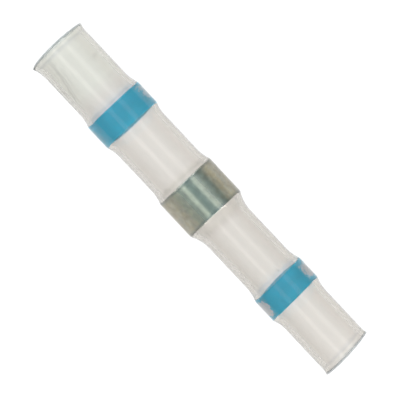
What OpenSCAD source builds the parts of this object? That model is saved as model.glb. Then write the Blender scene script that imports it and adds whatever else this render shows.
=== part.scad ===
// Solder seal wire connector: a clear heat-shrink sleeve that holds a solder ring
// at its middle and a blue hot-melt sealing ring towards each end.
// It lies on its side along X, with its narrow half towards +X. The narrow half has
// shrunk further than the wide half, so each half has its own bore and wall.

/* [Sleeve] */
// Length of the sleeve from rim to rim
sleeve_len = 42; // [38:0.5:60]
// Bore of the wide half between its rings
wide_bore = 5.1; // [4.6:0.05:5.4]
// Wall of the wide half and over the solder ring
wide_wall = 0.5; // [0.3:0.05:0.8]
// Bore of the narrow half, which has shrunk further
narrow_bore = 4.4; // [4:0.05:4.8]
// Wall of the narrow half, thicker because it has shrunk further
narrow_wall = 0.56; // [0.3:0.02:0.8]
// Radius of the hollow curve by which the outside runs from a ring to a neck
neck_fillet = 4; // [2:0.25:6]
// Radial gap between the sleeve and each ring that it holds
seat_gap = 0.02; // [0.01:0.01:0.05]
// Width of the flat on which the soft sleeve lies, under its fattest rings
rest_flat = 1.5; // [0.4:0.1:1.6]

/* [Rims] */
// Radius of the bow that the cut leaves in both rims
cut_bow = 28; // [12:1:60]
// How far the cut of the narrow rim is out of square, in degrees
cut_skew = 4; // [0:0.5:8]
// How far the wide rim spreads outwards
wide_flare = 0.16; // [0.05:0.01:0.3]
// Length over which the wide rim spreads
wide_flare_len = 1; // [0.5:0.1:2]
// How far the narrow rim spreads outwards
narrow_flare = 0.14; // [0.02:0.01:0.2]
// Length over which the narrow rim spreads
narrow_flare_len = 0.7; // [0.5:0.1:2]

/* [Pinched corner] */
// How far the pinched corner of the wide rim stands out past the rim
pinch_reach = 0.18; // [0.05:0.01:0.3]
// Radius of the pinched corner
pinch_round = 1.5; // [1:0.1:2.2]
// How far the pinched corner is set back from the wide rim
pinch_setback = 0.4; // [0.1:0.05:0.8]
// Length over which the pinched corner sinks into the sleeve
pinch_len = 1.6; // [1:0.1:3]
// Thickness of the creases that run back from the pinched corner
crease_width = 0.2; // [0.1:0.02:0.3]
// How far the creases stand out of the sleeve
crease_height = 0.05; // [0.02:0.01:0.08]

/* [Solder ring] */
// Outer diameter of the solder ring
solder_od = 5.65; // [5.5:0.05:6]
// Wall of the solder ring
solder_wall = 0.5; // [0.3:0.05:0.9]
// Width of the solder ring along the sleeve
solder_width = 4.3; // [2:0.1:6]
// Rounding of the solder ring's outer edges
solder_edge = 0.1; // [0.05:0.05:0.4]
// Distance of the solder ring from the sleeve's middle towards the narrow end
solder_offset = -0.25; // [-1:0.05:1]

/* [Sealing rings] */
// Outer diameter of the large sealing ring
large_seal_od = 5.65; // [5.5:0.05:6]
// Wall of the large sealing ring
large_seal_wall = 0.5; // [0.45:0.05:0.9]
// Width of the large sealing ring along the sleeve
large_seal_width = 2.65; // [2:0.05:4]
// Distance from the wide rim to the large sealing ring
large_seal_inset = 8.3; // [6:0.05:10]
// Outer diameter of the small sealing ring
small_seal_od = 5; // [4.9:0.05:5.4]
// Wall of the small sealing ring
small_seal_wall = 0.5; // [0.45:0.05:0.9]
// Width of the small sealing ring along the sleeve
small_seal_width = 2.5; // [2:0.05:4]
// Distance from the narrow rim to the small sealing ring
small_seal_inset = 7.65; // [5:0.05:10]
// Rounding of the sealing rings' edges
seal_edge = 0.12; // [0.06:0.02:0.4]

/* [Hidden] */
$fn = 96;
edge_steps = 2;
fillet_steps = 3;

wide_rim_x = -sleeve_len / 2;
narrow_rim_x = sleeve_len / 2;
large_seal_x = wide_rim_x + large_seal_inset + large_seal_width / 2;
small_seal_x = narrow_rim_x - small_seal_inset - small_seal_width / 2;

wide_neck = [wide_bore / 2, wide_bore / 2 + wide_wall];
narrow_neck = [narrow_bore / 2, narrow_bore / 2 + narrow_wall];
large_seat = large_seal_od / 2 + seat_gap;
solder_seat = solder_od / 2 + seat_gap;
small_seat = small_seal_od / 2 + seat_gap;

// The connector lies on the flat under its fattest rings
fattest = max(max(large_seat, solder_seat) + wide_wall, wide_neck[1]);
axis_height = sqrt(fattest * fattest - rest_flat * rest_flat / 4);

// The creases' angles from the top of the sleeve, and the shares of the run from
// the wide rim to the large sealing ring at which each begins and ends
CREASES = [[61, 0.12, 0.86], [50, 0.12, 0.72], [36, 0.38, 0.9]];

function reversed(points) = [for (i = [len(points) - 1:-1:0]) points[i]];

// Points [along, radius] of the S bend from a ring's seat down to a neck, first
// round the ring's edge and then along the hollow curve. Its way is 1 or -1. Where
// the ring is slimmer than the neck, the bend runs up to the neck instead.
function bend(start, seat_r, neck_r, edge_r, hollow_r, way) =
    let (
        fall = seat_r < neck_r ? -1 : 1,
        turn = acos(1 - abs(seat_r - neck_r) / (edge_r + hollow_r)),
        finish = start + way * (edge_r + hollow_r) * sin(turn)
    )
    concat(
        [for (i = [0:edge_steps])
            let (a = turn * i / edge_steps)
            [start + way * edge_r * sin(a), seat_r - fall * edge_r * (1 - cos(a))]],
        [for (i = [1:fillet_steps])
            let (a = turn * (1 - i / fillet_steps))
            [finish - way * hollow_r * sin(a), neck_r + fall * hollow_r * (1 - cos(a))]]
    );

// Inner or outer points of the wall over one ring. The side is 0 inside and 1 outside.
function over_ring(x, width, edge, seat_r, wall, necks, side) =
    let (
        flat = width / 2 - edge,
        seat = seat_r + side * wall,
        edge_r = edge + seat_gap + side * wall,
        hollow_r = neck_fillet + (1 - side) * wall
    )
    concat(
        reversed(bend(x - flat, seat, necks[0][side], edge_r, hollow_r, -1)),
        bend(x + flat, seat, necks[1][side], edge_r, hollow_r, 1)
    );

// Points from a neck out to a rim, on an arc that leaves the neck smoothly
function flare(rim_x, neck_r, spread, run, way) =
    let (arc_r = (run * run + spread * spread) / (2 * spread))
    [for (i = [0:fillet_steps])
        let (along = run * i / fillet_steps)
        [rim_x - way * (run - along), neck_r + arc_r - sqrt(arc_r * arc_r - along * along)]];

// One side of the whole wall, from the wide rim to the narrow rim
function wall_side(side) = concat(
    reversed(flare(wide_rim_x, wide_neck[side], wide_flare, wide_flare_len, -1)),
    over_ring(large_seal_x, large_seal_width, seal_edge, large_seat, wide_wall,
        [wide_neck, wide_neck], side),
    over_ring(solder_offset, solder_width, solder_edge, solder_seat, wide_wall,
        [wide_neck, narrow_neck], side),
    over_ring(small_seal_x, small_seal_width, seal_edge, small_seat, narrow_wall,
        [narrow_neck, narrow_neck], side),
    flare(narrow_rim_x, narrow_neck[side], narrow_flare, narrow_flare_len, 1)
);

// Turns points [along, radius] about the connector's axis, solid to the axis
module revolve(points) {
    last = len(points) - 1;
    closed = concat([[points[0][0], 0]], points, [[points[last][0], 0]]);
    translate([0, 0, axis_height])
        rotate([0, 90, 0])
            rotate_extrude()
                polygon([for (p = closed) [p[1], p[0]]]);
}

// A ring round the connector's axis with rounded edges
module ring(x, width, wall, od, outer_edge, inner_edge) {
    bore = od - 2 * wall;
    corners = [
        [width / 2 - outer_edge, od / 2 - outer_edge, outer_edge, 0],
        [-width / 2 + outer_edge, od / 2 - outer_edge, outer_edge, 90],
        [-width / 2 + inner_edge, bore / 2 + inner_edge, inner_edge, 180],
        [width / 2 - inner_edge, bore / 2 + inner_edge, inner_edge, 270]
    ];
    points = [for (c = corners, i = [0:fillet_steps])
        let (a = c[3] + 90 * i / fillet_steps)
        [x + c[0] + c[2] * cos(a), c[1] + c[2] * sin(a)]];
    translate([0, 0, axis_height])
        rotate([0, 90, 0])
            rotate_extrude()
                polygon([for (p = points) [p[1], p[0]]]);
}

// What lies below the floor, which the flat takes off
module below_floor() {
    translate([0, 0, -axis_height])
        cube([2 * sleeve_len, 4 * axis_height, 2 * axis_height], center = true);
}

// What a bowed cut takes off past a rim. The skew turns the bow about the rim's middle.
module beyond_cut(rim_x, way, skew) {
    depth = sleeve_len / 8;
    difference() {
        translate([rim_x, 0, axis_height])
            cube([2 * depth, 4 * axis_height, 4 * axis_height], center = true);
        translate([rim_x - way * cut_bow, -cut_bow * sin(skew), -2 * axis_height])
            cylinder(r = cut_bow, h = 6 * axis_height, $fn = 240);
    }
}

// The corner where the cutter pinched the wide rim: a small cone along one side,
// which stands out at the rim and sinks into the wall. The trim thins it all round.
module pinch(trim) {
    rim_r = wide_neck[1] + wide_flare;
    sunk = pinch_reach + wide_flare + wide_wall / 2;
    translate([wide_rim_x + pinch_setback, pinch_round - rim_r - pinch_reach, axis_height])
        rotate([0, 90, 0])
            cylinder(r1 = pinch_round - trim, r2 = pinch_round - trim - sunk, h = pinch_len);
}

module creases() {
    for (c = CREASES) {
        start = large_seal_inset * c[1];
        finish = large_seal_inset * c[2];
        translate([wide_rim_x + start, 0, axis_height])
            rotate([c[0], 0, 0])
                translate([0, 0, wide_neck[1] + crease_height - crease_width / 2])
                    rotate([0, 90, 0])
                        cylinder(d1 = crease_width, d2 = crease_width / 3,
                            h = finish - start, $fn = 24);
    }
}

module sleeve() {
    color([0.88, 0.88, 0.85, 0.45])
    difference() {
        union() {
            revolve(wall_side(1));
            pinch(0);
            creases();
        }
        revolve(wall_side(0));
        pinch(wide_wall);
        beyond_cut(wide_rim_x, -1, 0);
        beyond_cut(narrow_rim_x, 1, cut_skew);
        below_floor();
    }
}

module solder_ring() {
    color([0.5, 0.55, 0.53])
        ring(solder_offset, solder_width, solder_wall, solder_od, solder_edge, solder_edge / 2);
}

module large_sealing_ring() {
    color([0.3, 0.6, 0.7])
        ring(large_seal_x, large_seal_width, large_seal_wall, large_seal_od, seal_edge, seal_edge);
}

module small_sealing_ring() {
    color([0.3, 0.6, 0.7])
        ring(small_seal_x, small_seal_width, small_seal_wall, small_seal_od, seal_edge, seal_edge);
}

sleeve();
solder_ring();
large_sealing_ring();
small_sealing_ring();
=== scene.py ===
"""Solder seal wire connector: a clear heat-shrink sleeve with a solder ring and two
blue sealing rings inside, lying on a plain pale floor under soft studio light."""

from math import acos, atan2, cos, degrees, exp, pi, radians, sin, sqrt

import bpy
from bpy.props import FloatProperty, FloatVectorProperty, IntProperty, PointerProperty
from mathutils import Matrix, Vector


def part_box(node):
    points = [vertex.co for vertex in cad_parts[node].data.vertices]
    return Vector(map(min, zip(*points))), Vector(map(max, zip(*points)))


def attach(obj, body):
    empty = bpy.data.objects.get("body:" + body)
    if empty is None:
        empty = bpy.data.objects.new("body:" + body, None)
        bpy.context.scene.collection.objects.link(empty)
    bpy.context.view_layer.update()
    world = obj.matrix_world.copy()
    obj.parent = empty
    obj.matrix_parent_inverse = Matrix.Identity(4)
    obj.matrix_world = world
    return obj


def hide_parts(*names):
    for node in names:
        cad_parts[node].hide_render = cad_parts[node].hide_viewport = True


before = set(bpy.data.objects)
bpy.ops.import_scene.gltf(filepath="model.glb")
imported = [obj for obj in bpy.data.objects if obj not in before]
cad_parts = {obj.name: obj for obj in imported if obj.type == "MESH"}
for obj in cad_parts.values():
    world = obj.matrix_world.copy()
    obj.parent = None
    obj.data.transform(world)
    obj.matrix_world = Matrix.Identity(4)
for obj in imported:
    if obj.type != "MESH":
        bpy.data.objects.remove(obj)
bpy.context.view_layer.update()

bl_info = {
    "name": "Solder seal connector",
    "version": (1, 0, 0),
    "blender": (4, 5, 0),
    "location": "View3D > Sidebar > Connector",
    "description": "Builds a solder seal wire connector and its stage",
    "category": "Add Mesh",
}

BODY = "root"
MM = 0.001
RING_GAP = 0.018 * MM  # between the sleeve's outer wall and each ring
INSET = 0.001 * MM  # how far the rims stand back from the CAD box
WETTED = 0.006 * MM  # how far a ring presses into the sleeve where the two have bonded
WIDE_FLARE = (0.16 * MM, 1.0 * MM)  # how far a rim spreads outwards, over which length
NARROW_FLARE = (0.14 * MM, 0.7 * MM)


def node_box(node):
    """A CAD node's lowest and highest corners, in metres."""
    low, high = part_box(node)
    return Vector(low), Vector(high)


SLEEVE_LOW, SLEEVE_HIGH = node_box("sleeve")
SOLDER_LOW, SOLDER_HIGH = node_box("solder_ring")
LARGE_LOW, LARGE_HIGH = node_box("large_sealing_ring")
SMALL_LOW, SMALL_HIGH = node_box("small_sealing_ring")
AXIS_HEIGHT = (SOLDER_LOW.z + SOLDER_HIGH.z) / 2


class SleeveSizes(bpy.types.PropertyGroup):
    wide_bore: FloatProperty(
        name="Wide bore", description="Bore of the half that has shrunk less",
        default=5.1 * MM, unit="LENGTH", precision=5)
    narrow_bore: FloatProperty(
        name="Narrow bore", description="Bore of the half that has shrunk further",
        default=4.4 * MM, unit="LENGTH", precision=5)
    wide_wall: FloatProperty(
        name="Wide wall", description="Wall of the wide half and over the solder ring",
        default=0.5 * MM, unit="LENGTH", precision=5)
    narrow_wall: FloatProperty(
        name="Narrow wall", description="Wall of the narrow half",
        default=0.56 * MM, unit="LENGTH", precision=5)
    neck_fillet: FloatProperty(
        name="Neck fillet", description="Hollow curve from a ring's bulge to a neck",
        default=4 * MM, unit="LENGTH", precision=5)
    tint: FloatVectorProperty(
        name="Tint", description="Colour that the clear sleeve gives to light",
        default=(1.0, 1.0, 1.0), subtype="COLOR", size=3, min=0, max=1)
    segments: IntProperty(
        name="Segments", description="Faces round the sleeve", default=320, min=48)


class RingSizes(bpy.types.PropertyGroup):
    solder_edge: FloatProperty(
        name="Solder edge", description="Rounding of the solder ring's outer edges",
        default=0.1 * MM, unit="LENGTH", precision=5)
    seal_edge: FloatProperty(
        name="Seal edge", description="Rounding of the sealing rings' edges",
        default=0.12 * MM, unit="LENGTH", precision=5)
    wall: FloatProperty(
        name="Wall", description="Wall of the rings",
        default=0.5 * MM, unit="LENGTH", precision=5)
    small_tilt: FloatProperty(
        name="Small ring's tilt", description="How far the small sealing ring sits askew",
        default=radians(2), unit="ROTATION")
    blue: FloatVectorProperty(
        name="Blue", description="Colour of the sealing rings",
        default=(0.016, 0.61, 0.94), subtype="COLOR", size=3, min=0, max=1)
    solder: FloatVectorProperty(
        name="Solder", description="Colour of the solder",
        default=(0.94, 0.975, 0.83), subtype="COLOR", size=3, min=0, max=1)


class StageSettings(bpy.types.PropertyGroup):
    floor_glow: FloatProperty(
        name="Floor's glow", description="Brightness of the white floor", default=1.0)
    air: FloatVectorProperty(
        name="Surroundings", description="Colour of the dim room over the floor",
        default=(0.36, 0.48, 0.53), subtype="COLOR", size=3, min=0, max=1)
    wall_shade: FloatProperty(
        name="Wall shade", description="How dim the room's walls are next to its ceiling",
        default=0.4, min=0, max=1)
    camera_distance: FloatProperty(
        name="Camera distance", description="From the connector up to the camera",
        default=0.5, unit="LENGTH")
    turn: FloatProperty(
        name="Turn", description="Turn of the picture about the view",
        default=radians(46.76), unit="ROTATION")
    frame_width: FloatProperty(
        name="Frame width", description="Width of the picture at the connector",
        default=39.29 * MM, unit="LENGTH", precision=5)


# ---- shapes ----


def deselect_everything():
    if bpy.context.object and bpy.context.object.mode != "OBJECT":
        bpy.ops.object.mode_set(mode="OBJECT")
    bpy.ops.object.select_all(action="DESELECT")


def bend(start, seat_r, neck_r, edge_r, hollow_r, way, steps=5):
    """Sections (x, radius) from a ring's seat down an S bend to a neck."""
    fall = 1 if seat_r >= neck_r else -1
    turn = acos(1 - abs(seat_r - neck_r) / (edge_r + hollow_r))
    finish = start + way * (edge_r + hollow_r) * sin(turn)
    bulge = [(start + way * edge_r * sin(turn * i / steps),
              seat_r - fall * edge_r * (1 - cos(turn * i / steps)))
             for i in range(steps + 1)]
    hollow = [(finish - way * hollow_r * sin(turn * (1 - i / steps)),
               neck_r + fall * hollow_r * (1 - cos(turn * (1 - i / steps))))
              for i in range(1, steps + 1)]
    return bulge + hollow


def over_ring(low, high, wall, necks, side, sizes, edge):
    """Sections of the sleeve's inside (side 0) or outside (side 1) over one ring."""
    grip = (RING_GAP + wall) if side else -WETTED
    seat_r = (high.z - low.z) / 2 + grip
    edge_r = edge + grip
    hollow_r = sizes.neck_fillet + (1 - side) * wall
    before = bend(low.x + edge, seat_r, necks[0][side], edge_r, hollow_r, -1)
    after = bend(high.x - edge, seat_r, necks[1][side], edge_r, hollow_r, 1)
    return before[::-1] + after


def flare(rim_x, neck_r, spread, run, way, steps=5):
    """Sections from a neck out to a rim, on an arc that leaves the neck smoothly."""
    arc_r = (run * run + spread * spread) / (2 * spread)
    return [(rim_x - way * run * (1 - i / steps),
             neck_r + arc_r - sqrt(arc_r ** 2 - (run * i / steps) ** 2))
            for i in range(steps + 1)]


def filled_in(sections, longest):
    """The same sections with more between them, so none is further than longest."""
    dense = [sections[0]]
    for (x0, r0), (x1, r1) in zip(sections, sections[1:]):
        count = max(1, round(abs(x1 - x0) / longest))
        dense += [(x0 + (x1 - x0) * i / count, r0 + (r1 - r0) * i / count)
                  for i in range(1, count + 1)]
    return dense


def turned(name, sections, segments):
    """A closed ring or tube: a circle extruded and resized through each section."""
    deselect_everything()
    x, r = sections[0]
    bpy.ops.mesh.primitive_circle_add(
        vertices=segments, radius=r, location=(x, 0, AXIS_HEIGHT), rotation=(0, pi / 2, 0))
    piece = bpy.context.object
    piece.name = piece.data.name = name
    bpy.ops.object.transform_apply(location=True, rotation=True, scale=True)
    bpy.ops.object.mode_set(mode="EDIT")
    bpy.ops.mesh.select_all(action="SELECT")
    for next_x, next_r in sections[1:]:
        bpy.ops.mesh.extrude_region_move(
            TRANSFORM_OT_translate={"value": (next_x - x, 0, 0)})
        if next_r != r:
            share = next_r / r
            bpy.ops.transform.resize(
                value=(1, share, share), center_override=(next_x, 0, AXIS_HEIGHT))
        x, r = next_x, next_r
    bpy.ops.mesh.select_all(action="SELECT")
    bpy.ops.mesh.remove_doubles(threshold=1e-7)
    bpy.ops.mesh.normals_make_consistent(inside=False)
    bpy.ops.object.mode_set(mode="OBJECT")
    bpy.ops.object.shade_smooth()
    return piece


def corner(x, r, radius, start, steps=5):
    """Sections round one rounded corner of a ring's section."""
    return [(x + radius * cos(start + pi / 2 * i / steps),
             r + radius * sin(start + pi / 2 * i / steps)) for i in range(steps + 1)]


def ring_sections(low, high, wall, outer_edge, inner_edge):
    """Closed section of a ring with rounded corners, from box corners."""
    out = (high.z - low.z) / 2
    bore = out - wall
    points = (corner(high.x - outer_edge, out - outer_edge, outer_edge, 0)
              + corner(low.x + outer_edge, out - outer_edge, outer_edge, pi / 2)
              + corner(low.x + inner_edge, bore + inner_edge, inner_edge, pi)
              + corner(high.x - inner_edge, bore + inner_edge, inner_edge, 3 * pi / 2))
    return filled_in(points + points[:1], 0.1 * MM)


def seat_tilt(x, aside, middle, tilt):
    """How far a point moves along X where the small ring sits askew. The whole ring
    leans, and the sleeve follows it less and less over the run beside it."""
    beside = max(0, abs(x - middle) - 1.3 * MM) / (1.6 * MM)
    return 0 if beside >= 1 else tilt * aside * (1 - beside * beside) ** 2


# ---- materials ----


def new_material(name):
    material = bpy.data.materials.new(name)
    material.use_nodes = True
    nodes, links = material.node_tree.nodes, material.node_tree.links
    return material, nodes, links, nodes["Principled BSDF"]


def object_place(nodes, links, scale=(1, 1, 1), location=(0, 0, 0)):
    coordinates = nodes.new("ShaderNodeTexCoord")
    mapping = nodes.new("ShaderNodeMapping")
    mapping.inputs["Scale"].default_value = scale
    mapping.inputs["Location"].default_value = location
    links.new(coordinates.outputs["Object"], mapping.inputs["Vector"])
    return mapping.outputs["Vector"]


def noise(nodes, links, place, scale, detail=3, roughness=0.5):
    texture = nodes.new("ShaderNodeTexNoise")
    texture.inputs["Scale"].default_value = scale
    texture.inputs["Detail"].default_value = detail
    texture.inputs["Roughness"].default_value = roughness
    links.new(place, texture.inputs["Vector"])
    return texture.outputs["Fac"]


def ramp(nodes, links, factor, stops):
    node = nodes.new("ShaderNodeValToRGB")
    elements = node.color_ramp.elements
    while len(elements) < len(stops):
        elements.new(0.5)
    for element, (position, color) in zip(elements, stops):
        element.position = position
        element.color = (*color, 1)
    links.new(factor, node.inputs["Fac"])
    return node.outputs["Color"]


def bump(nodes, links, height, strength, distance):
    node = nodes.new("ShaderNodeBump")
    node.inputs["Strength"].default_value = strength
    node.inputs["Distance"].default_value = distance
    links.new(height, node.inputs["Height"])
    return node.outputs["Normal"]


def math_node(nodes, links, operation, first, second=0):
    node = nodes.new("ShaderNodeMath")
    node.operation = operation
    for socket, value in zip(node.inputs, (first, second)):
        if isinstance(value, (int, float)):
            socket.default_value = value
        else:
            links.new(value, socket)
    return node.outputs["Value"]


def spread_out(nodes, links, value, low, high, to_low=0, to_high=1):
    """A value between two limits as a share between two others, held at both."""
    node = nodes.new("ShaderNodeMapRange")
    links.new(value, node.inputs["Value"])
    for name, limit in (("From Min", low), ("From Max", high),
                        ("To Min", to_low), ("To Max", to_high)):
        node.inputs[name].default_value = limit
    return node.outputs["Result"]


def multiplied(nodes, links, first, second):
    node = nodes.new("ShaderNodeMix")
    node.data_type = "RGBA"
    node.blend_type = "MULTIPLY"
    node.inputs[0].default_value = 1
    links.new(first, node.inputs[6])
    links.new(second, node.inputs[7])
    return node.outputs[2]


def place_parts(nodes, links):
    """Object coordinates apart: X, Y, and the height over the connector's axis."""
    coordinates = nodes.new("ShaderNodeTexCoord")
    parts = nodes.new("ShaderNodeSeparateXYZ")
    links.new(coordinates.outputs["Object"], parts.inputs[0])
    height = math_node(nodes, links, "SUBTRACT", parts.outputs["Z"], AXIS_HEIGHT)
    return parts.outputs["X"], parts.outputs["Y"], height


def in_the_bore(nodes, links, x, y, height):
    """One on the inside of the sleeve's wall and nought on its outside. The radius
    that tells them apart falls where the narrow half begins."""
    squares = math_node(nodes, links, "ADD", math_node(nodes, links, "POWER", y, 2),
                        math_node(nodes, links, "POWER", height, 2))
    radius = math_node(nodes, links, "SQRT", squares)
    parting = spread_out(nodes, links, x, 2.0 * MM, 3.4 * MM, 2.95 * MM, 2.64 * MM)
    return math_node(nodes, links, "LESS_THAN", radius, parting)


def rim_distance(nodes, links, x, y):
    """Distance from the nearer of the two bowed rims."""
    gaps = []
    for way, low, skew in ((1, SLEEVE_LOW.x, 0), (-1, -SLEEVE_HIGH.x, NARROW_SKEW)):
        aside = math_node(nodes, links, "ADD", y, CUT_BOW * sin(skew))
        back = math_node(nodes, links, "DIVIDE",
                         math_node(nodes, links, "POWER", aside, 2), 2 * CUT_BOW)
        along = math_node(nodes, links, "MULTIPLY_ADD", x, way)
        along.node.inputs[2].default_value = -low
        gaps.append(math_node(nodes, links, "SUBTRACT", along, back))
    return math_node(nodes, links, "MINIMUM", *gaps)


def crease_shade(nodes, links, x, around, course, side_steps, half_width):
    """Dark lines beside one crease, which runs through points (x in mm, degrees)."""
    first, last = course[0][0], course[-1][0]
    share = spread_out(nodes, links, x, first * MM, last * MM)
    stops = [((at - first) / (last - first), [degrees_at / 100] * 3)
             for at, degrees_at in course]
    middle = math_node(nodes, links, "MULTIPLY", ramp(nodes, links, share, stops), 100)
    off = math_node(nodes, links, "SUBTRACT", around, middle)
    total = None
    for step in side_steps:
        away = math_node(nodes, links, "DIVIDE",
                         math_node(nodes, links, "SUBTRACT", off, step), half_width)
        bell = math_node(nodes, links, "EXPONENT", math_node(
            nodes, links, "MULTIPLY", math_node(nodes, links, "POWER", away, 2), -1))
        total = bell if total is None else math_node(nodes, links, "ADD", total, bell)
    fade_in = spread_out(nodes, links, x, first * MM, (first + 0.8) * MM)
    fade_out = spread_out(nodes, links, x, (last - 1.5) * MM, last * MM, 1, 0)
    return math_node(nodes, links, "MULTIPLY", total,
                     math_node(nodes, links, "MULTIPLY", fade_in, fade_out))


# Tones along the sleeve (mm along X, colour): a little greener at the wide end, warmer
# elsewhere, with faint lines of painted shade where the wall bends beside each ring
GREENER = (0.985, 0.99, 0.968)
WARMER = (1.0, 0.98, 0.968)
SLEEVE_TINT_AND_BEND_SHADE = (
    (-21, GREENER), (-15.6, GREENER), (-13.9, (0.97, 0.955, 0.945)),
    (-13.2, (0.965, 0.95, 0.945)), (-12.98, (0.86, 0.87, 0.9)), (-12.82, (0.88, 0.88, 0.91)),
    (-12.7, (0.97, 0.96, 0.96)), (-9.9, WARMER), (-3.2, WARMER),
    (-2.88, (0.94, 0.92, 0.9)), (-2.7, (0.94, 0.92, 0.9)), (-2.55, WARMER),
    (2.0, (0.96, 0.94, 0.92)), (2.6, (0.96, 0.94, 0.92)), (2.85, (0.94, 0.92, 0.9)),
    (3.2, (0.975, 0.95, 0.94)), (3.7, WARMER), (10.2, WARMER),
    (10.4, (0.92, 0.93, 0.96)), (10.58, (0.92, 0.93, 0.96)), (10.7, WARMER),
    (21, WARMER),
)
# Tones across the sleeve (mm towards -Y, tone): painted shade, darker down both flanks
FLANK_SHADE_TONES = (
    (-3.4, 0.84), (-2.62, 0.85), (-2.45, 0.94), (-2.1, 0.96), (-1.5, 0.99), (-0.9, 1),
    (0.9, 1), (1.5, 0.985), (2.05, 0.94), (2.4, 0.93), (2.6, 0.82), (3.4, 0.85),
)
# Tones back from either rim (mm, colour): painted shade along the cut edge, then a clear
# band where the wall thins, then a faint painted shade line where the rim begins to spread
RIM_SHADE_TONES = (
    (0, (0.55, 0.55, 0.55)), (0.13, (0.6, 0.6, 0.6)), (0.24, (1, 1, 1)),
    (0.56, (1, 1, 1)), (0.7, (0.92, 0.925, 0.94)), (0.78, (0.93, 0.935, 0.95)),
    (0.94, (1, 1, 1)),
)
FROSTED = (0.1, 0.22)  # mm back from a rim: frosted by the cut up to here, clear from here
# Small blemishes in the wall (mm along X, mm towards +Y, radius in mm, how dark)
BLEMISHES = (
    (-17.45, 2.01, 0.32, 0.12), (-15.1, 1.76, 0.2, 0.08), (-16.0, -1.45, 0.2, 0.05),
    (10.2, 0.66, 0.16, 0.3), (9.9, 0.95, 0.13, 0.14),
)
# Creases as paint: the points (x in mm, degrees from the top) that each runs through,
# the steps aside of its dark lines, half width in degrees, and how dark
CREASE_SHADES = (
    (((-20.6, 55), (-20.2, 54.4), (-19.4, 51.7), (-18, 53), (-16.7, 60), (-13.8, 61)),
     (0, 13), 3.0, 0.12),
    (((-20.3, 35), (-19.5, 35), (-18.1, 38), (-17.4, 41), (-16.5, 46), (-15.3, 51),
      (-14.0, 55)), (0,), 2.0, 0.24),
    (((-19.0, 28), (-17.8, 30), (-16.6, 35), (-15.6, 38)), (0,), 2.0, 0.08),
)


def sleeve_color(nodes, links, tint, x, y, height, from_rim, haze):
    # Tint along the sleeve, with lines of painted shade at the bends
    tone_stops = [((at * MM - SLEEVE_LOW.x) / (SLEEVE_HIGH.x - SLEEVE_LOW.x), color)
                  for at, color in SLEEVE_TINT_AND_BEND_SHADE]
    color = ramp(nodes, links, spread_out(nodes, links, x, SLEEVE_LOW.x, SLEEVE_HIGH.x),
                 tone_stops)
    # Painted shade along both rims
    reach = RIM_SHADE_TONES[-1][0]
    rim = spread_out(nodes, links, from_rim, 0, reach * MM)
    rim_shade_stops = [(at / reach, tone) for at, tone in RIM_SHADE_TONES]
    color = multiplied(nodes, links, color, ramp(nodes, links, rim, rim_shade_stops))
    # Painted shade down both flanks
    half = FLANK_SHADE_TONES[-1][0]
    widened = spread_out(nodes, links, x, 2.0 * MM, 3.4 * MM, 1, 1.14)
    flank = spread_out(nodes, links, math_node(nodes, links, "MULTIPLY", y, widened),
                       half * MM, -half * MM)
    flank_shade_stops = [((at + half) / (2 * half), [tone] * 3) for at, tone in FLANK_SHADE_TONES]
    color = multiplied(nodes, links, color, ramp(nodes, links, flank, flank_shade_stops))
    dim = [c * 0.992 for c in tint]
    clouds = ramp(nodes, links, haze, [(0.3, dim), (0.7, tint)])
    color = multiplied(nodes, links, color, clouds)

    around = degrees_from_top(nodes, links, y, height)
    dark = None
    for course, side_steps, half_width, strength in CREASE_SHADES:
        shade = math_node(nodes, links, "MULTIPLY", crease_shade(
            nodes, links, x, around, course, side_steps, half_width), strength)
        dark = shade if dark is None else math_node(nodes, links, "ADD", dark, shade)
    for along, aside, radius, strength in BLEMISHES:
        off = math_node(nodes, links, "POWER",
                        math_node(nodes, links, "SUBTRACT", x, along * MM), 2)
        away = math_node(nodes, links, "POWER",
                         math_node(nodes, links, "SUBTRACT", y, aside * MM), 2)
        distance = math_node(nodes, links, "SQRT", math_node(nodes, links, "ADD", off, away))
        shade = spread_out(nodes, links, distance, 0, radius * MM, strength, 0)
        dark = math_node(nodes, links, "ADD", dark, shade)
    shading = ramp(nodes, links, dark, [(0, (1, 1, 1)), (0.5, (0.5, 0.5, 0.5))])
    return multiplied(nodes, links, color, shading)


def clear_sleeve_material(tint):
    material, nodes, links, shader = new_material("clear_heat_shrink")
    shader.inputs["IOR"].default_value = 1.5
    body = nodes.new("ShaderNodeVolumeAbsorption")
    body.inputs["Color"].default_value = (0.83, 0.805, 0.755, 1)
    body.inputs["Density"].default_value = 1000
    output = nodes["Material Output"]
    links.new(body.outputs["Volume"], output.inputs["Volume"])
    place = object_place(nodes, links, scale=(0.25, 1, 1))
    haze = noise(nodes, links, place, 700, detail=4)
    x, y, height = place_parts(nodes, links)
    from_rim = rim_distance(nodes, links, x, y)
    links.new(sleeve_color(nodes, links, tint, x, y, height, from_rim, haze),
              shader.inputs["Base Color"])
    links.new(spread_out(nodes, links, from_rim, FROSTED[0] * MM, FROSTED[1] * MM, 0.2, 0.96),
              shader.inputs["Transmission Weight"])
    inner = in_the_bore(nodes, links, x, y, height)
    links.new(spread_out(nodes, links, inner, 0, 1, 0.08, 0.13),
              shader.inputs["Roughness"])
    fine = noise(nodes, links, place, 3000, detail=2)
    links.new(bump(nodes, links, fine, 0.03, 0.001 * MM), shader.inputs["Normal"])
    return material


# Patches where a sealing ring hasn't bonded to the sleeve, with grey painted over them as
# the reflection in the air gap there: their middle (mm along X, degrees from the top), their
# half widths in the same terms, how ragged they are, how sharp their edge is, and how grey
# they are
PATCHES = (
    (-11.6, -92, 0.85, 28, 0.9, 2, 0.6),
    (12.07, -82, 0.93, 28, 0.5, 1.5, 0.92),
    (12.14, 84, 0.98, 27, 0.6, 3, 0.95),
)
UNBONDED_REFLECTION_GREY = (0.8, 0.8, 0.87)


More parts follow.
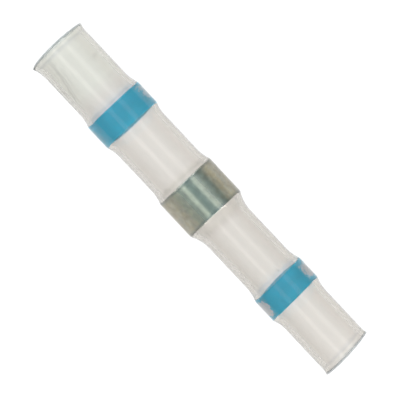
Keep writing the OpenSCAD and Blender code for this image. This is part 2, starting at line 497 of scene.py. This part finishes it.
def patch_mask(nodes, links, x, around, grain, patch):
    """One where a ring hasn't bonded, and nought where it has."""
    along, middle, half_width, half_angle, ragged, sharp, most = patch
    off = math_node(nodes, links, "SUBTRACT", x, along * MM)
    off = math_node(nodes, links, "DIVIDE", off, half_width * MM)
    away = math_node(nodes, links, "SUBTRACT", around, middle)
    away = math_node(nodes, links, "DIVIDE", away, half_angle)
    off = math_node(nodes, links, "POWER", math_node(nodes, links, "ABSOLUTE", off), 4)
    away = math_node(nodes, links, "POWER", math_node(nodes, links, "ABSOLUTE", away), 4)
    edge = math_node(nodes, links, "SQRT", math_node(nodes, links, "ADD", off, away))
    rough = spread_out(nodes, links, grain, 0.25, 0.75, -ragged, ragged)
    inside = math_node(nodes, links, "SUBTRACT", math_node(nodes, links, "ADD", rough, 1), edge)
    return spread_out(nodes, links, inside, 0, 1 / sharp, 0, most)


def degrees_from_top(nodes, links, y, height):
    aside = math_node(nodes, links, "MULTIPLY", y, -1)
    around = math_node(nodes, links, "ARCTAN2", aside, height)
    return math_node(nodes, links, "MULTIPLY", around, 180 / pi)


def hot_melt_material(blue):
    material, nodes, links, shader = new_material("blue_hot_melt")
    place = object_place(nodes, links)
    cloud = noise(nodes, links, place, 900, detail=4)
    deep = [c * 0.9 for c in blue]
    melt = ramp(nodes, links, cloud, [(0.3, deep), (0.7, blue)])
    x, y, height = place_parts(nodes, links)
    around = degrees_from_top(nodes, links, y, height)
    grain = noise(nodes, links, place, 3200, detail=4)
    # Grey painted over the unbonded patches, as the reflection in the air gap
    gap_reflection = None
    for patch in PATCHES:
        mask = patch_mask(nodes, links, x, around, grain, patch)
        gap_reflection = mask if gap_reflection is None else math_node(nodes, links, "MAXIMUM", gap_reflection, mask)
    mixed = nodes.new("ShaderNodeMix")
    mixed.data_type = "RGBA"
    links.new(gap_reflection, mixed.inputs[0])
    links.new(melt, mixed.inputs[6])
    mixed.inputs[7].default_value = (*UNBONDED_REFLECTION_GREY, 1)
    links.new(mixed.outputs[2], shader.inputs["Base Color"])
    shader.inputs["Roughness"].default_value = 0.38
    shader.inputs["Specular IOR Level"].default_value = 0.15
    links.new(bump(nodes, links, cloud, 0.2, 0.02 * MM), shader.inputs["Normal"])
    return material


# Tones across the solder ring (share of its width, colour): darker towards both edges, a
# painted reflection of the dim room in their rounding
SOLDER_EDGE_REFLECTION = (
    (0, (0.4, 0.42, 0.46)), (0.01, (0.64, 0.68, 0.75)), (0.03, (0.7, 0.73, 0.78)),
    (0.07, (0.95, 0.96, 0.97)),
    (0.12, (1, 1, 1)), (0.9, (1, 1, 1)), (0.94, (0.92, 0.94, 0.97)),
    (0.97, (0.72, 0.76, 0.84)), (0.99, (0.64, 0.68, 0.75)), (1, (0.3, 0.32, 0.35)),
)


# Tones round the solder ring (mm towards -Y, colour): painted reflections, a dark band and a
# bright streak, and tan flanks whose lightness is a painted reflection of the floor
SOLDER_REFLECTION_BANDS = (
    (-2.8, (0.72, 0.7, 0.69)), (-2.2, (0.86, 0.84, 0.82)), (-1.92, (0.8, 0.76, 0.73)),
    (-1.65, (0.53, 0.58, 0.56)), (-1.38, (0.6, 0.65, 0.66)), (-1.1, (0.85, 0.86, 0.88)),
    (-0.8, (0.7, 0.72, 0.71)), (0, (0.58, 0.645, 0.65)), (0.7, (0.65, 0.675, 0.635)),
    (0.93, (0.81, 0.78, 0.74)), (1.1, (0.87, 0.84, 0.79)), (1.38, (0.92, 0.88, 0.84)),
    (1.65, (1, 0.98, 0.94)), (1.92, (0.93, 0.88, 0.89)), (2.2, (0.845, 0.83, 0.85)),
    (2.8, (0.81, 0.78, 0.76)),
)


def solder_material(color):
    material, nodes, links, shader = new_material("solder_alloy")
    place = object_place(nodes, links)
    drawn = object_place(nodes, links, scale=(0.8, 1, 1))
    grain = noise(nodes, links, place, 1800, detail=5)
    mottle = noise(nodes, links, drawn, 1700, detail=6, roughness=0.62)
    x, y, height = place_parts(nodes, links)
    # Painted reflection, darker towards both edges of the ring
    across = spread_out(nodes, links, x, SOLDER_LOW.x, SOLDER_HIGH.x)
    edges = ramp(nodes, links, across, SOLDER_EDGE_REFLECTION)
    # Painted reflections in bands round the ring, laid over the painted edge reflection
    half = SOLDER_REFLECTION_BANDS[-1][0]
    reflection_band_stops = [((at + half) / (2 * half), tone) for at, tone in SOLDER_REFLECTION_BANDS]
    reflection_bands = ramp(nodes, links, spread_out(nodes, links, y, half * MM, -half * MM), reflection_band_stops)
    edges = multiplied(nodes, links, edges, reflection_bands)
    dull = [c * 0.76 for c in color]
    metal = ramp(nodes, links, grain, [(0.3, dull), (0.7, color)])

    # The tarnish is tan, in clouds down both flanks
    aside = math_node(nodes, links, "ABSOLUTE", math_node(nodes, links, "ADD", y, 0.25 * MM))
    flank = spread_out(nodes, links, aside, 0.9 * MM, 2.2 * MM, 0, 1)
    cloud = spread_out(nodes, links, mottle, 0.36, 0.62, 0, 1)
    tarnish = math_node(nodes, links, "MULTIPLY", flank, cloud)
    tan_tones = ramp(nodes, links, tarnish, [(0, (1, 1, 1)), (1, (0.94, 0.87, 0.74))])
    links.new(multiplied(nodes, links, multiplied(nodes, links, metal, tan_tones), edges),
              shader.inputs["Base Color"])
    shader.inputs["Metallic"].default_value = 1
    rough = math_node(nodes, links, "MAXIMUM",
                      spread_out(nodes, links, flank, 0, 1, 0.2, 0.45),
                      spread_out(nodes, links, y, -1.0 * MM, -1.4 * MM, 0.2, 0.42))
    links.new(rough, shader.inputs["Roughness"])
    links.new(bump(nodes, links, grain, 0.25, 0.012 * MM), shader.inputs["Normal"])
    return material


def floor_material(glow):
    material, nodes, links, shader = new_material("white_floor")
    place = object_place(nodes, links)
    grain = noise(nodes, links, place, 60, detail=2)
    white = (glow, glow, glow)
    near_white = (glow * 0.995, glow * 0.995, glow * 0.995)
    color = ramp(nodes, links, grain, [(0.3, near_white), (0.7, white)])
    # A painted pool of light: the floor's glow is full round the connector and fades beyond it
    away = nodes.new("ShaderNodeVectorMath")
    away.operation = "LENGTH"
    links.new(place, away.inputs[0])
    far = spread_out(nodes, links, away.outputs["Value"], 30 * MM, 120 * MM)
    painted_light_pool = ramp(nodes, links, far, [(0, (1, 1, 1)), (1, (0.45, 0.46, 0.47))])
    links.new(multiplied(nodes, links, color, painted_light_pool), shader.inputs["Emission Color"])
    shader.inputs["Base Color"].default_value = (0.1, 0.1, 0.1, 1)
    shader.inputs["Emission Strength"].default_value = 1
    shader.inputs["Roughness"].default_value = 1
    shader.inputs["Specular IOR Level"].default_value = 0
    return material


def dress(piece, material, replaced):
    piece.data.materials.clear()
    piece.data.materials.append(material)
    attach(piece, BODY)
    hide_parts(replaced)


# ---- operators ----


class CONNECTOR_OT_sleeve(bpy.types.Operator):
    """Make the clear sleeve, shrunk round its rings, with cut and pinched rims"""

    bl_idname = "connector.sleeve"
    bl_label = "Sleeve"

    def execute(self, context):
        sizes = context.scene.connector_sleeve
        rings = context.scene.connector_rings
        wide = (sizes.wide_bore / 2, sizes.wide_bore / 2 + sizes.wide_wall)
        narrow = (sizes.narrow_bore / 2, sizes.narrow_bore / 2 + sizes.narrow_wall)

        def wall_side(side):
            return (
                flare(SLEEVE_LOW.x + INSET, wide[side], *WIDE_FLARE, -1)[::-1]
                + over_ring(LARGE_LOW, LARGE_HIGH, sizes.wide_wall, (wide, wide),
                            side, sizes, rings.seal_edge)
                + over_ring(SOLDER_LOW, SOLDER_HIGH, sizes.wide_wall, (wide, narrow),
                            side, sizes, rings.solder_edge)
                + over_ring(SMALL_LOW, SMALL_HIGH, sizes.narrow_wall, (narrow, narrow),
                            side, sizes, rings.seal_edge)
                + flare(SLEEVE_HIGH.x - INSET, narrow[side], *NARROW_FLARE, 1))

        outside = softened(wall_side(1), 1)
        inside = softened(wall_side(0), 0)[::-1]
        piece = turned("clear_sleeve", outside + inside + outside[:1], sizes.segments)
        shape_rims(piece)
        dress(piece, clear_sleeve_material(sizes.tint), "sleeve")
        return {"FINISHED"}


CUT_BOW = 28 * MM  # radius of the bow that the cut leaves in both rims
NARROW_SKEW = radians(4)  # how far the narrow rim's cut is out of square


def cut_depth(aside, skew):
    """How far a bowed cut stands back at a distance aside from the axis."""
    off = aside + CUT_BOW * sin(skew)
    return CUT_BOW - sqrt(CUT_BOW * CUT_BOW - off * off)


def edge_loss(from_rim, along, deep):
    """How far a rounded edge falls away at a distance from the rim."""
    share = max(0, 1 - from_rim / along)
    return deep * (1 - sqrt(1 - share * share))


def softened(sections, side):
    """The wall's sections, set closer near both rims and with the rims' edges rounded."""
    along, deep = ((0.06 * MM, -0.06 * MM), (0.12 * MM, 0.06 * MM))[1 - side]
    near = 0.7 * MM
    dense = filled_in(sections, 0.45 * MM)
    low, high = SLEEVE_LOW.x, SLEEVE_HIGH.x
    ends = [filled_in([q for q in dense if test(q[0])], 0.05 * MM)
            for test in (lambda x: x <= low + near, lambda x: x >= high - near)]
    middle = [q for q in dense if low + near < q[0] < high - near]
    return [(x, r + edge_loss(min(x - low, high - x), along, deep))
            for x, r in ends[0] + middle + ends[1]]


def shape_rims(piece):
    """Bow both cuts, pinch one corner of the wide rim, crease the sleeve behind it,
    set the small ring's seat askew and flatten the underside where it lies."""
    run = 2.5 * MM
    tilt = bpy.context.scene.connector_rings.small_tilt
    outer_r = bpy.context.scene.connector_sleeve.wide_bore / 2 + 0.25 * MM
    for vertex in piece.data.vertices:
        x, y, z = vertex.co.x, vertex.co.y, vertex.co.z - AXIS_HEIGHT
        from_wide = x - SLEEVE_LOW.x
        from_narrow = SLEEVE_HIGH.x - x
        if from_wide < 8.5 * MM:
            r = sqrt(y * y + z * z)
            around = atan2(-y, z)
            pinch = exp(-((around - radians(92)) / radians(19)) ** 2)
            rise = 0.19 * MM * pinch * max(0, 1 - from_wide / (1.9 * MM)) ** 1.5
            if r > outer_r:
                rise += crease_rise(x, around)
            y, z = y * (r + rise) / r, z * (r + rise) / r
            if from_wide < run:
                left = 1 - from_wide / run
                x += left * (cut_depth(y, 0) + 0.16 * MM * pinch)
        elif from_narrow < run:
            x -= (1 - from_narrow / run) * cut_depth(y, NARROW_SKEW)
        else:
            x += seat_tilt(x, -y, (SMALL_LOW.x + SMALL_HIGH.x) / 2, tilt)
        vertex.co = (x, y, max(0, z + AXIS_HEIGHT))


# Each crease: its height, its half width in degrees, and the points (x in mm, degrees
# from the top of the sleeve) that it runs through
CREASES = (
    (0.03, 2.4, ((-20.4, 50), (-19.4, 58.5), (-18.4, 59), (-17.6, 64), (-15.5, 69))),
    (-0.045, 1.9, ((-19.6, 31.5), (-17.6, 34.5), (-16.6, 40), (-15.6, 43.5),
                   (-14.9, 54), (-13.9, 62))),
    (-0.035, 1.7, ((-18.2, 38), (-17.3, 41), (-15.6, 50), (-14.6, 60))),
    (-0.012, 2.2, ((-20.2, 66), (-19.0, 71), (-17.4, 74), (-15.5, 78))),
)


def crease_rise(x, around):
    """How far the creases lift or sink the sleeve's outside at one place."""
    total = 0
    for height, half_width, points in CREASES:
        first, last = points[0][0], points[-1][0]
        along = x / MM
        if not first < along < last:
            continue
        for (x0, a0), (x1, a1) in zip(points, points[1:]):
            if x0 <= along <= x1:
                share = (along - x0) / (x1 - x0)
                middle = a0 + (a1 - a0) * share
        fade = min(1, (along - first) / 0.8, (last - along) / 1.5)
        off = (around * 180 / pi - middle) / half_width
        total += height * MM * fade * exp(-off * off)
    return total


class CONNECTOR_OT_solder_ring(bpy.types.Operator):
    """Make the solder ring at the sleeve's middle"""

    bl_idname = "connector.solder_ring"
    bl_label = "Solder ring"

    def execute(self, context):
        sizes = context.scene.connector_rings
        sections = ring_sections(SOLDER_LOW, SOLDER_HIGH, sizes.wall,
                                 sizes.solder_edge, sizes.solder_edge / 2)
        piece = turned("solder_band", sections, 192)
        dress(piece, solder_material(sizes.solder), "solder_ring")
        return {"FINISHED"}


class CONNECTOR_OT_sealing_rings(bpy.types.Operator):
    """Make the two blue sealing rings"""

    bl_idname = "connector.sealing_rings"
    bl_label = "Sealing rings"

    def execute(self, context):
        sizes = context.scene.connector_rings
        material = hot_melt_material(sizes.blue)
        for name, low, high, node in (
            ("large_seal", LARGE_LOW, LARGE_HIGH, "large_sealing_ring"),
            ("small_seal", SMALL_LOW, SMALL_HIGH, "small_sealing_ring"),
        ):
            sections = ring_sections(low, high, sizes.wall, sizes.seal_edge, sizes.seal_edge)
            piece = turned(name, sections, 448)
            if node == "small_sealing_ring":
                middle = (low.x + high.x) / 2
                for vertex in piece.data.vertices:
                    vertex.co.x += seat_tilt(vertex.co.x, -vertex.co.y, middle,
                                             sizes.small_tilt)
            dress(piece, material, node)
        return {"FINISHED"}


def area_light(context, name, size, power):
    light = bpy.data.lights.new(name, "AREA")
    light.shape = "RECTANGLE"
    light.size, light.size_y = size
    light.energy = power
    lamp = bpy.data.objects.new(name, light)
    context.collection.objects.link(lamp)
    return lamp


class CONNECTOR_OT_stage(bpy.types.Operator):
    """Set the floor, the lights and the camera"""

    bl_idname = "connector.stage"
    bl_label = "Stage"

    def execute(self, context):
        stage = context.scene.connector_stage
        deselect_everything()
        bpy.ops.mesh.primitive_plane_add(size=1.2, location=(0, 0, 0))
        floor = context.object
        floor.name = "floor"
        floor.data.materials.append(floor_material(stage.floor_glow))

        world = context.scene.world or bpy.data.worlds.new("room")
        context.scene.world = world
        world.use_nodes = True
        background = world.node_tree.nodes["Background"]
        background.inputs["Strength"].default_value = 1
        nodes, links = world.node_tree.nodes, world.node_tree.links
        way = nodes.new("ShaderNodeTexCoord").outputs["Generated"]
        upward = nodes.new("ShaderNodeSeparateXYZ")
        links.new(way, upward.inputs[0])
        walls = [c * stage.wall_shade for c in stage.air]
        links.new(ramp(nodes, links, upward.outputs["Z"],
                       [(0.15, walls), (0.75, list(stage.air))]), background.inputs["Color"])

        for name, lean, width, power in (
            ("strip_light_upper", 28.5, 0.13, 0.21),
            ("strip_light_lower", -21, 0.12, 0.2),
        ):
            lamp = area_light(context, name, (0.7, width), power)
            away = 0.42
            angle = radians(lean)
            lamp.location = (0, away * sin(angle), AXIS_HEIGHT + away * cos(angle))
            lamp.rotation_euler = (-angle, 0, 0)
        for name, lean in (("end_light_wide", -77), ("end_light_narrow", 77)):
            lamp = area_light(context, name, (0.22, 0.8), 4.6)
            angle = radians(lean)
            lamp.location = (0.5 * sin(angle), 0, AXIS_HEIGHT + 0.5 * cos(angle))
            lamp.rotation_euler = (0, angle, 0)
            lamp.visible_glossy = False

        camera_data = bpy.data.cameras.new("camera")
        camera_data.lens = camera_data.sensor_width * stage.camera_distance / stage.frame_width
        camera_data.clip_start = 0.01
        camera = bpy.data.objects.new("camera", camera_data)
        context.collection.objects.link(camera)
        pixel = stage.frame_width / 400
        right = Vector((cos(stage.turn), sin(stage.turn), 0))
        up = Vector((-sin(stage.turn), cos(stage.turn), 0))
        aim = Vector((0, 0, AXIS_HEIGHT)) - right * 1.92 * pixel - up * 0.64 * pixel
        camera.location = aim + Vector((0, 0, stage.camera_distance))
        camera.rotation_euler = (0, 0, stage.turn)
        context.scene.camera = camera
        context.scene.view_settings.view_transform = "Standard"
        return {"FINISHED"}


class CONNECTOR_PT_panel(bpy.types.Panel):
    """Lists the connector's pieces"""

    bl_label = "Connector"
    bl_space_type = "VIEW_3D"
    bl_region_type = "UI"
    bl_category = "Connector"

    def draw(self, context):
        for operator in OPERATORS:
            self.layout.operator(operator.bl_idname)


GROUPS = {
    "connector_sleeve": SleeveSizes,
    "connector_rings": RingSizes,
    "connector_stage": StageSettings,
}
OPERATORS = (
    CONNECTOR_OT_stage,
    CONNECTOR_OT_sleeve,
    CONNECTOR_OT_solder_ring,
    CONNECTOR_OT_sealing_rings,
)


def register():
    for cls in (*GROUPS.values(), *OPERATORS, CONNECTOR_PT_panel):
        bpy.utils.register_class(cls)
    for name, group in GROUPS.items():
        setattr(bpy.types.Scene, name, PointerProperty(type=group))


def unregister():
    for name in GROUPS:
        delattr(bpy.types.Scene, name)
    for cls in reversed((*GROUPS.values(), *OPERATORS, CONNECTOR_PT_panel)):
        bpy.utils.unregister_class(cls)


def main():
    register()
    bpy.ops.connector.stage()
    bpy.ops.connector.sleeve()
    bpy.ops.connector.solder_ring()
    bpy.ops.connector.sealing_rings()


if __name__ == "__main__":
    main()
